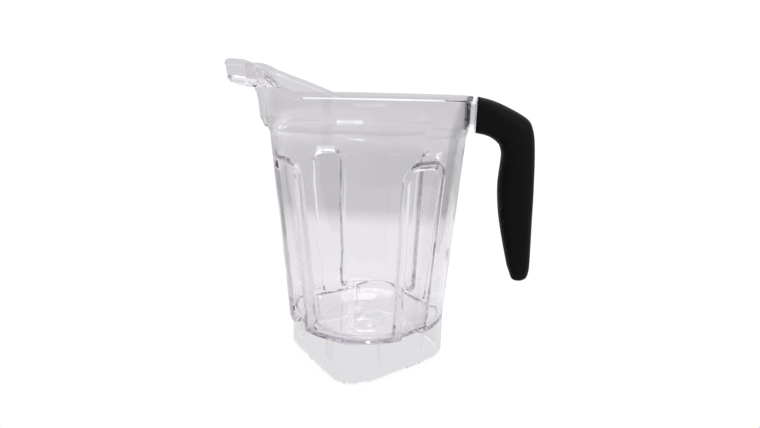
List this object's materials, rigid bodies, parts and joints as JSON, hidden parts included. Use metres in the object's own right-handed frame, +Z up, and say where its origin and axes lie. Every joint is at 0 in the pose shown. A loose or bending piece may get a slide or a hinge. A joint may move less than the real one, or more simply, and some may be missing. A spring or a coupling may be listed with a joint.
{
  "type": "blender jar",
  "caption": "Clear moulded blender jar with a raised pouring spout, fluted tapering body, square foot and black soft-grip handle.",
  "frame": {"origin": "centre of the foot's underside, on the jar's own axis, where the jar stands", "axes": "+Z up the jar's axis, +X towards the handle, spout towards -X"},
  "size_m": [0.2458, 0.1634, 0.2423],
  "materials": {
    "clear_plastic": "polished clear moulding",
    "soft_grip": "matte soft touch"
  },
  "bodies": {
    "root": {"jar_body": "clear_plastic", "handle_grip": "soft_grip"}
  },
  "joints": []
}
